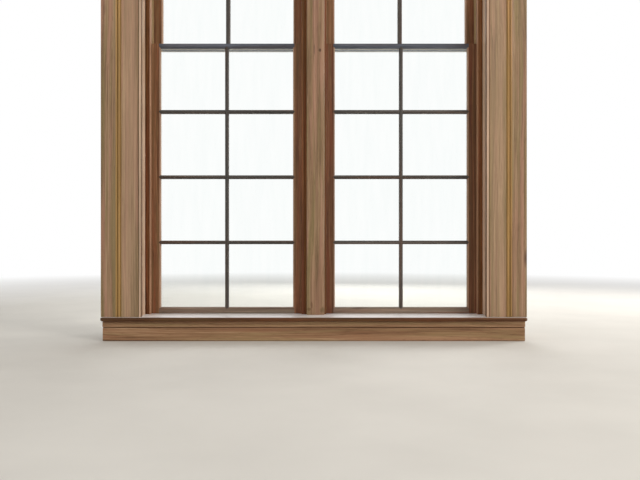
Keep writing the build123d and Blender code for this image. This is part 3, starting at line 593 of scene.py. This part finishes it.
# Each metal's base, worn and rusty colour, its roughness and how metallic it is
metals = {
    "pulley_case_iron": ((52, 46, 42), (74, 64, 54), (98, 62, 40), 0.42, 0.85),
    "pulley_pin_steel": ((150, 148, 144), (120, 116, 110), (110, 84, 62), 0.30, 1.0),
    "weight_iron": ((44, 40, 38), (66, 56, 50), (104, 66, 44), 0.65, 0.6),
    "wheel_brass": ((168, 132, 72), (132, 100, 54), (92, 72, 42), 0.34, 0.95),
    "screw_iron": ((86, 78, 70), (110, 100, 88), (112, 74, 50), 0.38, 0.9),
}


def make_metal(name):
    base, worn, rust, roughness, metallic = metals[name]
    material, tree, shader = new_material(name)
    coordinates = own_place(tree)
    blotch = noise_at(tree, coordinates, scale=blotches_per_metre, detail=4.0)
    grit = noise_at(tree, coordinates, scale=grit_per_metre, detail=2.0)
    colour = lay_over(tree, fade(tree, blotch, *worn_span), linear(base), worn)
    colour = lay_over(tree, fade(tree, blotch, *rust_span, to_high=rust_most), colour, rust)
    gloss = fade(tree, blotch, *noise_span, *(roughness + spread for spread in metal_gloss_spread))
    bent = raised(
        tree, grit, metal_strength, metal_depth, rounded_edges(tree, metal_edge_radius),
    )
    tree.links.new(colour, shader.inputs["Base Color"])
    tree.links.new(gloss, shader.inputs["Roughness"])
    tree.links.new(bent, shader.inputs["Normal"])
    shader.inputs["Metallic"].default_value = metallic
    return material


# Glass, with drawn lines and small bubbles
glass_tints = ((252, 254, 253), (249, 252, 251))
drawn_waves = (34.0, 34.0, 5.0)
bubbles_per_metre = 38.0
bubble_span = (0.05, 0.0)
bubble_height = 0.4
glass_strength = 0.16
glass_depth = 0.0008
glass_ior = 1.5


def make_glass():
    material, tree, shader = new_material("old_glass")
    coordinates = own_place(tree)
    drawn = noise_at(tree, scaled(tree, coordinates, drawn_waves), detail=2.0)
    bubble = fade(tree, cells_at(tree, coordinates, scale=bubbles_per_metre), *bubble_span)
    height = plus(tree, drawn, times(tree, bubble, bubble_height))
    tint = lay_over(tree, fade(tree, drawn, *noise_span), linear(glass_tints[0]), glass_tints[1])
    tree.links.new(tint, shader.inputs["Base Color"])
    tree.links.new(raised(tree, height, glass_strength, glass_depth), shader.inputs["Normal"])
    shader.inputs["Roughness"].default_value = 0.0
    shader.inputs["IOR"].default_value = glass_ior
    shader.inputs["Transmission Weight"].default_value = 1.0
    return material


# Putty
putty_colour = (198, 194, 178)
pale_putty = (214, 211, 200)
putty_pit_colour = (128, 118, 100)
putty_patches_per_metre = 60.0
putty_pits_per_metre = 420.0
putty_pit_span = (0.62, 0.70)
putty_pit_most = 0.8
putty_strength = 0.4
putty_depth = 0.0006
putty_roughness = 0.75


def make_putty():
    material, tree, shader = new_material("old_putty")
    coordinates = own_place(tree)
    patches = noise_at(tree, coordinates, scale=putty_patches_per_metre, detail=4.0)
    pits = noise_at(tree, coordinates, scale=putty_pits_per_metre, detail=3.0)
    colour = lay_over(tree, fade(tree, patches, *patch_span), linear(putty_colour), pale_putty)
    pitted = fade(tree, pits, *putty_pit_span, to_high=putty_pit_most)
    colour = lay_over(tree, pitted, colour, putty_pit_colour)
    tree.links.new(colour, shader.inputs["Base Color"])
    tree.links.new(raised(tree, pits, putty_strength, putty_depth), shader.inputs["Normal"])
    shader.inputs["Roughness"].default_value = putty_roughness
    return material


# Cotton
cotton_colour = (196, 184, 156)
soiled_cotton = (158, 142, 112)
cotton_shadow = (120, 104, 78)
soil_waves = (60.0, 60.0, 6.0)
fibre_waves = (1800.0, 1800.0, 500.0)
fibre_span = (0.5, 0.75)
fibre_most = 0.5
fibre_strength = 0.5
fibre_depth = 0.0004
cotton_roughness = 0.9
cotton_sheen = 0.25


def make_cotton():
    material, tree, shader = new_material("sash_cord_cotton")
    coordinates = own_place(tree)
    soil = noise_at(tree, scaled(tree, coordinates, soil_waves), detail=3.0)
    fibre = noise_at(tree, scaled(tree, coordinates, fibre_waves), detail=2.0)
    colour = lay_over(tree, fade(tree, soil, *patch_span), linear(cotton_colour), soiled_cotton)
    shadow = fade(tree, fibre, *fibre_span, to_high=fibre_most)
    colour = lay_over(tree, shadow, colour, cotton_shadow)
    tree.links.new(colour, shader.inputs["Base Color"])
    tree.links.new(raised(tree, fibre, fibre_strength, fibre_depth), shader.inputs["Normal"])
    shader.inputs["Roughness"].default_value = cotton_roughness
    shader.inputs["Sheen Weight"].default_value = cotton_sheen
    return material


# Mesh helpers
weld_distance = 1e-6


def welded_solids(node):
    """The lowest and highest corner of each separate solid of a CAD node."""
    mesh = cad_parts[node].data
    work = bmesh.new()
    work.from_mesh(mesh)
    bmesh.ops.remove_doubles(work, verts=work.verts[:], dist=weld_distance)
    left = set(work.verts)
    boxes = []
    while left:
        stack = [left.pop()]
        points = []
        while stack:
            vertex = stack.pop()
            points.append(vertex.co.copy())
            for edge in vertex.link_edges:
                other = edge.other_vert(vertex)
                if other in left:
                    left.remove(other)
                    stack.append(other)
        low = Vector([min(p[i] for p in points) for i in range(3)])
        high = Vector([max(p[i] for p in points) for i in range(3)])
        boxes.append((low, high))
    work.free()
    return sorted(boxes, key=lambda box: (round(box[0].z, 3), round(box[0].x, 3)))


def join_rings(work, rings, closed=False):
    """Faces from each ring of corners to the next, and from the last to the first where closed."""
    following = rings[1:] + rings[:1] if closed else rings[1:]
    for here, there in zip(rings, following):
        for i in range(len(here)):
            j = (i + 1) % len(here)
            work.faces.new((here[i], here[j], there[j], there[i]))


def mesh_piece(name, work, material, smooth=False):
    bmesh.ops.recalc_face_normals(work, faces=work.faces[:])
    mesh = bpy.data.meshes.new(name)
    work.to_mesh(mesh)
    work.free()
    mesh.materials.append(material)
    for polygon in mesh.polygons:
        polygon.use_smooth = smooth
    piece = bpy.data.objects.new(name, mesh)
    scene.collection.objects.link(piece)
    return piece


# Old drawn glass: each pane keeps its edges in the rebate and waves gently between them
wave_height = 0.00035
wave_scale = 8.0
wave_stretch = 0.6
ream_scale = 26.0
ream_scale_up = 3.0
ream_share = 0.3
ream_offset = 9.0
pane_seed_step = 3.7
place_seed_step = 5.0
edge_hold = 0.030
pane_cells = 34


def pane_wave(x, z, low, high, seed):
    near_edge = min(x - low.x, high.x - x, z - low.z, high.z - z)
    hold = min(1.0, near_edge / edge_hold)
    slow = noise.noise(Vector((x * wave_scale, z * wave_scale * wave_stretch, seed)))
    ream = noise.noise(Vector((x * ream_scale, z * ream_scale_up, seed + ream_offset)))
    return hold * hold * (3 - 2 * hold) * wave_height * (slow + ream_share * ream)


def make_panes(node, material):
    work = bmesh.new()
    for index, (low, high) in enumerate(welded_solids(node)):
        seed = index * pane_seed_step + low.x * place_seed_step
        sheets = []
        for y in (low.y, high.y):
            grid = []
            for row in range(pane_cells + 1):
                z = low.z + (high.z - low.z) * row / pane_cells
                line = []
                for column in range(pane_cells + 1):
                    x = low.x + (high.x - low.x) * column / pane_cells
                    line.append(work.verts.new((x, y + pane_wave(x, z, low, high, seed), z)))
                grid.append(line)
            sheets.append(grid)
        for grid in sheets:
            for row in range(pane_cells):
                for column in range(pane_cells):
                    work.faces.new((
                        grid[row][column], grid[row][column + 1],
                        grid[row + 1][column + 1], grid[row + 1][column],
                    ))
        rims = [
            [sheet[0] for sheet in sheets],
            [sheet[-1] for sheet in sheets],
            [[line[0] for line in sheet] for sheet in sheets],
            [[line[-1] for line in sheet] for sheet in sheets],
        ]
        for front, back in rims:
            for step in range(pane_cells):
                work.faces.new((front[step], front[step + 1], back[step + 1], back[step]))
    panes = mesh_piece(node + "_wavy", work, material)
    # The thin glass lets the lamps' light through instead of shading what lies behind it
    panes.visible_shadow = False
    return panes


# Putty: a sloped fillet round each pane on its outdoor side
putty_face_gap = 0.0004
pane_cover = 0.005
sash_back_from_glass = 0.011


def make_putty_fillets(node, material):
    work = bmesh.new()
    for low, high in welded_solids(node):
        outer = [low.x, high.x, low.z, high.z]
        sight = [low.x + pane_cover, high.x - pane_cover, low.z + pane_cover, high.z - pane_cover]
        back = high.y + sash_back_from_glass - putty_face_gap
        rings = []
        for (x0, x1, z0, z1), y in ((sight, high.y), (outer, back), (outer, high.y)):
            corners = ((x0, y, z0), (x1, y, z0), (x1, y, z1), (x0, y, z1))
            rings.append([work.verts.new(corner) for corner in corners])
        join_rings(work, rings, closed=True)
    return mesh_piece(node.replace("panes", "putty"), work, material)


# Cords: three-strand rope laid in three pieces
cord_radius = 0.0035
wheel_rim = 0.002
strands = 3
lay_length = 0.030
strand_depth = 0.0006
ring_step = 0.003
cord_sides = 15

# Knots: turns of rope pulled tight into a ball, in the sash's edge and in the weight
knot_radius = 0.007
knot_drop = 0.300
knot_set_in = 0.0035
weight_knot_depth = 0.0293
knot_segments = 24
knot_rings = 16
knot_turns = (420, 460)
knot_turn_shares = (0.6, 0.4)
knot_core = 0.90
knot_ridge = 0.09


def sweep_cord(name, point_at, side_at, length, material):
    """A laid rope along point_at(s), where side_at(s) gives two unit vectors across it."""
    work = bmesh.new()
    count = max(2, round(length / ring_step))
    rings = []
    for i in range(count + 1):
        s = length * i / count
        centre = point_at(s)
        across, other = side_at(s)
        ring = []
        for k in range(cord_sides):
            angle = 2 * pi * k / cord_sides
            lobe = abs(sin(strands * (angle / 2 + pi * s / lay_length / strands)))
            radius = cord_radius - strand_depth * (1 - lobe)
            out = across * (radius * cos(angle))
            ring.append(work.verts.new(centre + out + other * (radius * sin(angle))))
        rings.append(ring)
    join_rings(work, rings)
    work.faces.new(rings[0][::-1])
    work.faces.new(rings[-1])
    return mesh_piece(name, work, material, smooth=True)


def straight_cord(name, x, y, low, high, material):
    across = (Vector((1, 0, 0)), Vector((0, 1, 0)))
    return sweep_cord(
        name, lambda s: Vector((x, y, low + s)), lambda s: across, high - low, material
    )


def arched_cord(name, start_x, axle_x, y, height, material):
    radius = abs(axle_x - start_x)
    turn = 1 if axle_x > start_x else -1

    def point_at(s):
        angle = s / radius
        return Vector((axle_x - turn * radius * cos(angle), y, height + radius * sin(angle)))

    def side_at(s):
        angle = s / radius
        return Vector((-turn * cos(angle), 0, sin(angle))), Vector((0, 1, 0))

    return sweep_cord(name, point_at, side_at, pi * radius, material)


def knot_piece(name, centre, material):
    work = bmesh.new()
    bmesh.ops.create_uvsphere(
        work, u_segments=knot_segments, v_segments=knot_rings, radius=knot_radius,
    )
    for vertex in work.verts:
        p = vertex.co
        turns = abs(sin((p.x + p.z) * knot_turns[0])) * knot_turn_shares[0]
        turns += abs(sin((p.y - p.z) * knot_turns[1])) * knot_turn_shares[1]
        vertex.co = p * (knot_core + knot_ridge * turns)
    bmesh.ops.translate(work, verts=work.verts[:], vec=centre)
    return mesh_piece(name, work, material, smooth=True)


def carry_run(run, shortens):
    """With shortens set the run goes on the frame with its own mesh, else it stays where it is."""
    if shortens:
        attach(run, "frame")
        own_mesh(run)
    else:
        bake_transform(run)


def make_cord(name, level, place, material):
    """A sash's cord on one side: a run on the sash, one over the wheel and one to the weight."""
    title = f"{name}_{place}_cord"
    low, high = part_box(f"{name}_{place}_pulley_wheel")
    facing = 1 if place == "left" else -1
    radius = (high.x - low.x) / 2 - wheel_rim
    axle_x, y, height = (low + high) / 2
    sash_x = axle_x + facing * radius
    weight_x = axle_x - facing * radius
    sash_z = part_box(f"{name}_sash_top_rail")[1].z - knot_drop
    weight_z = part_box(f"{name}_weights")[1].z - weight_knot_depth
    sash_run = straight_cord(title + "_sash_run", sash_x, y, sash_z, height, material)
    weight_run = straight_cord(title + "_weight_run", weight_x, y, weight_z, height, material)
    arch = arched_cord(title + "_over_wheel", sash_x, axle_x, y, height, material)
    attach(arch, "frame")
    carry_run(sash_run, level == "lower")
    carry_run(weight_run, level == "upper")
    sash_knot_place = Vector((sash_x + facing * knot_set_in, y, sash_z))
    sash_knot_piece = knot_piece(title + "_sash_knot", sash_knot_place, material)
    weight_knot_place = Vector((weight_x, y, weight_z))
    weight_knot_piece = knot_piece(title + "_weight_knot", weight_knot_place, material)
    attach(sash_knot_piece, f"{name}_sash")
    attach(weight_knot_piece, f"{name}_weights")
    return [sash_run, weight_run, arch, sash_knot_piece, weight_knot_piece]


def make_cords(material):
    for window in windows:
        for level in levels:
            name = f"{window}_{level}"
            pieces = make_cord(name, level, "left", material)
            pieces += make_cord(name, level, "right", material)
            for piece in pieces:
                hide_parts(f"{name}_cords")


# Slotted screws that hold the pulley cases, each a stack of (radius, rise) rings
screw_rings = ((0.0042, -0.0002), (0.0042, 0.0), (0.00315, 0.00049), (0.00168, 0.0007))
screw_slot_half_width = 0.0007
screw_slot_depth = 0.00105
screw_slot_across = (0.8, 0.6)
screw_place = 0.044
screw_segments = 20


def from_nearer_window(x):
    return abs(abs(x) - window_centre)


def make_screws(material):
    work = bmesh.new()
    for low, high in welded_solids("pulley_cases"):
        middle = (low + high) / 2
        # The plate lies on the window's side of its case
        plate_x = min(high.x, low.x, key=from_nearer_window)
        facing = 1 if plate_x == high.x else -1
        for sign in (-1, 1):
            centre = Vector((plate_x, middle.y, middle.z + sign * screw_place))
            rings = []
            for radius, rise in screw_rings:
                ring = []
                for k in range(screw_segments):
                    angle = 2 * pi * k / screw_segments
                    y = radius * cos(angle)
                    z = radius * sin(angle)
                    off_slot = abs(y * screw_slot_across[0] + z * screw_slot_across[1])
                    dip = screw_slot_depth if off_slot < screw_slot_half_width and rise > 0 else 0.0
                    ring.append(work.verts.new(centre + Vector((facing * (rise - dip), y, z))))
                rings.append(ring)
            join_rings(work, rings)
            work.faces.new(rings[-1])
            work.faces.new(rings[0][::-1])
    return mesh_piece("pulley_case_screws", work, material)


# Materials on the CAD nodes
bar_half_widths = {"lower": 0.0085, "upper": 0.010}
glass_seat = 0.022
sash_side_gap = 0.002
stop_width = 0.012
outer_moulding_width = 0.05
window_seed_step = 10.0
level_seed_step = 4.0
first_sash_seed = 50.0

# Strips on the inner field and the centre bead of each casing, a painted highlight on the edge bead
# and painted shade in its quirk
casing_bands = (
    (0.8210, 0.0330, (166, 137, 109), 0.50, False),
    (0.8700, 0.0125, (170, 130, 68), 0.72, False),
    (0.7755, 0.0045, (206, 176, 150), 0.90, False),
    (0.7690, 0.0012, (108, 76, 50), 0.85, False),
)
# Painted highlights: the lit side of the outer stop beads, and the lit edge of each sash's moulding
# beside the glass
stop_side_highlights = ((0.7555, 0.0016, (172, 130, 100), 0.85, False),)
sticking_highlights = ((0.3115, 0.0035, (176, 142, 116), 0.70, True),)
# Damp spots at the mullion's foot, and a chip with its crack beside the meeting rails
mullion_blots = (
    ((-0.021, 0.121), (0.010, 0.007), (96, 62, 38), 0.55),
    ((-0.010, 0.142), (0.005, 0.019), (100, 66, 40), 0.50),
    ((0.046, 0.117), (0.018, 0.016), (98, 78, 46), 0.55),
    ((0.028, 1.305), (0.006, 0.008), (70, 44, 28), 0.80),
    ((0.002, 1.310), (0.0016, 0.030), (70, 46, 30), 0.80),
)


def trim_looks():
    return {
        "left_casing": make_wood(
            "casing_left_wood", "trim", seed=1.0, bare_behind=True, bands=casing_bands,
        ),
        "right_casing": make_wood(
            "casing_right_wood", "trim", seed=4.0, bare_behind=True, bands=casing_bands,
        ),
        "head_casing": make_wood(
            "casing_head_wood", "trim", grain="x", seed=7.0, bare_behind=True,
        ),
        "mullion_casing": make_wood(
            "mullion_casing_wood", "trim", seed=9.0, blots=mullion_blots,
        ),
        # Painted light: the side linings take the paler reveal copy of the trim wood
        "left_reveal_lining": make_wood(
            "reveal_left_wood", "reveal", seed=11.0, roughness=0.4, coat=0.5,
        ),
        "right_reveal_lining": make_wood(
            "reveal_right_wood", "reveal", seed=13.0, roughness=0.45, coat=0.3,
        ),
        "head_reveal_lining": make_wood("reveal_head_wood", "trim", grain="x", seed=15.0),
        # Painted shade on the stool's darker palette; its top takes the pale palette with a painted
        # reflection
        "stool": make_wood(
            "stool_wood", "stool", grain="x", roughness=0.34, specular=0.2, coat=1.0, seed=17.0,
            top_palette="bleached_with_reflection",
        ),
        "apron": make_wood("apron_wood", "apron", grain="x", seed=19.0, bare_behind=True),
    }


def box_looks():
    head_jamb_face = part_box("head_jamb")[0].z
    jamb_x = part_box("right_pulley_stile")[0].x
    stile_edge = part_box("right_lower_sash_stiles")[1].x
    bead_reach = stile_edge + sash_side_gap - stop_width - window_centre
    bead_mask = head_mask(bead_reach, head_jamb_face - stop_width, True)
    outer_lining_low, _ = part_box("outside_linings")
    _, moulding_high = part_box("outer_mouldings")
    moulding_mask = head_mask(
        moulding_high.x - outer_moulding_width, moulding_high.z - outer_moulding_width, False,
    )
    return {
        # Painted shade: stop beads and inside linings take the darker shaded copy of the trim wood
        "stop_beads": make_wood(
            "stop_bead_wood", "shaded_trim", mask=bead_mask, roughness=0.6, specular=0.2, coat=0.08,
            seed=21.0, knots=False, bands=stop_side_highlights,
        ),
        "inside_linings": make_wood(
            "inside_lining_wood", "shaded_trim", mask=head_mask(jamb_x, head_jamb_face, False),
            roughness=0.7, specular=0.15, coat=0.0, seed=23.0,
        ),
        "left_pulley_stile": make_wood(
            "pulley_stile_left_wood", "bare", roughness=0.55, seed=25.0,
        ),
        "right_pulley_stile": make_wood(
            "pulley_stile_right_wood", "bare", roughness=0.55, seed=27.0,
        ),
        "mullion_pulley_stiles": make_wood(
            "pulley_stile_mullion_wood", "bare", roughness=0.55, seed=29.0,
        ),
        "pocket_covers": make_wood("pocket_cover_wood", "bare", roughness=0.55, seed=31.0),
        "head_jamb": make_wood("head_jamb_wood", "bare", grain="x", roughness=0.55, seed=33.0),
        "parting_beads": make_wood(
            "parting_bead_wood", "bare", mask=bead_mask, seed=35.0, knots=False,
        ),
        "back_linings": make_wood("back_lining_wood", "rough", roughness=0.8, seed=37.0),
        "parting_slips": make_wood("parting_slip_wood", "rough", roughness=0.8, seed=39.0),
        "sill": make_paint("sill_paint", grain="x", seed=41.0),
        "outside_linings": make_paint(
            "outside_lining_paint", mask=head_mask(-outer_lining_low.x, head_jamb_face, False),
            seed=43.0,
        ),
        "outer_mouldings": make_paint("outer_moulding_paint", mask=moulding_mask, seed=45.0),
        "pulley_cases": make_metal("pulley_case_iron"),
        "pulley_pins": make_metal("pulley_pin_steel"),
    }


def sash_looks(window, level):
    name = f"{window}_{level}_sash"
    seed = first_sash_seed + window_seed_step * windows.index(window)
    seed += level_seed_step * levels.index(level)
    paint_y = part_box(f"{name}_stiles")[0].y + glass_seat
    # Painted light and shade: the right lower sash's stiles take the darker copy, the others the
    # paler one
    stile_palette = "sash" if (window, level) == ("right", "lower") else "pale_sash"
    # Painted shade and reflection: meeting rails take the slate blue-grey copy, lower bottom rails
    # the paler rail copy
    top_palette = "meeting" if level == "lower" else "sash"
    bottom_palette = "rail" if level == "lower" else "meeting"
    return {
        f"{name}_stiles": make_wood(
            f"{name}_stile_wood", stile_palette, specular=0.25, seed=seed, paint_from_y=paint_y,
            bands=sticking_highlights,
        ),
        f"{name}_top_rail": make_wood(
            f"{name}_top_rail_wood", top_palette, grain="x", seed=seed + 1, paint_from_y=paint_y,
        ),
        f"{name}_bottom_rail": make_wood(
            f"{name}_bottom_rail_wood", bottom_palette, grain="x", seed=seed + 2,
            paint_from_y=paint_y,
        ),
        f"{name}_muntins": make_wood(
            f"{name}_muntin_wood", "muntin", mask=cross_bar_mask(bar_half_widths[level]),
            seed=seed + 3, paint_from_y=paint_y, knots=False,
        ),
    }


def dress_nodes():
    looks = {**trim_looks(), **box_looks()}
    weight_iron = make_metal("weight_iron")
    wheel_brass = make_metal("wheel_brass")
    for window in windows:
        for level in levels:
            looks.update(sash_looks(window, level))
            looks[f"{window}_{level}_weights"] = weight_iron
            looks[f"{window}_{level}_left_pulley_wheel"] = wheel_brass
            looks[f"{window}_{level}_right_pulley_wheel"] = wheel_brass
    for node, material in looks.items():
        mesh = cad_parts[node].data
        mesh.materials.clear()
        mesh.materials.append(material)


def make_glazing():
    glass = make_glass()
    putty = make_putty()
    for window in windows:
        for level in levels:
            body = f"{window}_{level}_sash"
            node = f"{body}_panes"
            panes = make_panes(node, glass)
            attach(panes, body)
            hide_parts(node)
            fillets = make_putty_fillets(node, putty)
            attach(fillets, body)


# Stage: a pale floor, white surroundings and soft light
floor_colour = (226, 222, 214)
floor_patch_colour = (220, 216, 208)
floor_patches_per_metre = 3.0
floor_roughness = 0.9
floor_half_size = 40.0
floor_gap = 0.0005
floor_fades_from = 2.4
floor_white_from = 6.0
ambient = 0.42
ambient_colour = (1.0, 0.985, 0.96, 1)
white = (1, 1, 1, 1)

# Each lamp's place, what it is aimed at, its width and height, its power and its colour
lamps = {
    "room_key": ((2.9, -3.6, 2.9), (0, 0, 1.2), (2.2, 2.2), 95.0, (1.0, 0.97, 0.93)),
    "room_fill": ((-3.2, -3.5, 1.8), (0, 0, 1.2), (2.6, 2.6), 30.0, (1.0, 1.0, 1.0)),
    "outdoors_sky": ((0.4, 3.4, 1.8), (0, 0, 0.9), (3.4, 2.4), 72.0, (0.97, 0.985, 1.0)),
    "outdoors_side": ((3.6, 1.7, 1.7), (-0.6, 0, 1.2), (1.6, 2.4), 64.0, (1.0, 0.98, 0.96)),
}


def seen_by_eye(tree):
    """1 where the camera looks, by itself or through glass or in a reflection."""
    path = add_node(tree, "LightPath")
    seen = calc(tree, "MAXIMUM", path.outputs["Is Camera Ray"], path.outputs["Is Glossy Ray"])
    return calc(tree, "MAXIMUM", seen, path.outputs["Is Transmission Ray"])


def make_stage():
    low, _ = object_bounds()
    material, tree, shader = new_material("floor_plain")
    patches = noise_at(tree, own_place(tree), scale=floor_patches_per_metre)
    patchy = fade(tree, patches, *noise_span)
    colour = lay_over(tree, patchy, linear(floor_colour), floor_patch_colour)
    tree.links.new(colour, shader.inputs["Base Color"])
    shader.inputs["Roughness"].default_value = floor_roughness
    # Far off, the floor passes into the white surroundings
    x, y, _ = place_axes(tree)
    far = calc(tree, "SQRT", plus(tree, times(tree, x, x), times(tree, y, y)))
    share = times(tree, fade(tree, far, floor_fades_from, floor_white_from), seen_by_eye(tree))
    glow = add_node(tree, "Emission", {"Color": white, "Strength": 1.0})
    mixed = add_node(tree, "MixShader", {0: share, 1: shader.outputs["BSDF"], 2: glow.outputs[0]})
    tree.links.new(mixed.outputs[0], tree.get_output_node("ALL").inputs["Surface"])
    work = bmesh.new()
    size = floor_half_size
    corners = ((-size, -size), (size, -size), (size, size), (-size, size))
    work.faces.new([work.verts.new((x, y, low.z - floor_gap)) for x, y in corners])
    floor = mesh_piece("floor", work, material)


def make_world():
    world = bpy.data.worlds.new("studio")
    scene.world = world
    world.use_nodes = True
    tree = world.node_tree
    tree.nodes.clear()
    seen = seen_by_eye(tree)
    backdrop = add_node(tree, "Background", {"Color": white, "Strength": 1.0})
    soft = add_node(tree, "Background", {"Color": ambient_colour, "Strength": ambient})
    mixed = add_node(tree, "MixShader", {0: seen, 1: soft.outputs[0], 2: backdrop.outputs[0]})
    output = add_node(tree, "OutputWorld")
    tree.links.new(mixed.outputs[0], output.inputs["Surface"])


def make_lights():
    for name, (place, target, size, power, colour) in lamps.items():
        data = bpy.data.lights.new(name, "AREA")
        data.shape = "ELLIPSE"
        data.size, data.size_y = size
        data.energy = power
        data.color = colour
        lamp = bpy.data.objects.new(name, data)
        lamp.visible_camera = False
        lamp.visible_transmission = False
        lamp.location = place
        aim = Vector(target) - Vector(place)
        lamp.rotation_euler = aim.to_track_quat("-Z", "Y").to_euler()
        scene.collection.objects.link(lamp)


make_camera()
make_cords(make_cotton())
make_glazing()
dress_nodes()
screws = make_screws(make_metal("screw_iron"))
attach(screws, "frame")
make_stage()
make_world()
make_lights()
scene.view_settings.view_transform = "Standard"
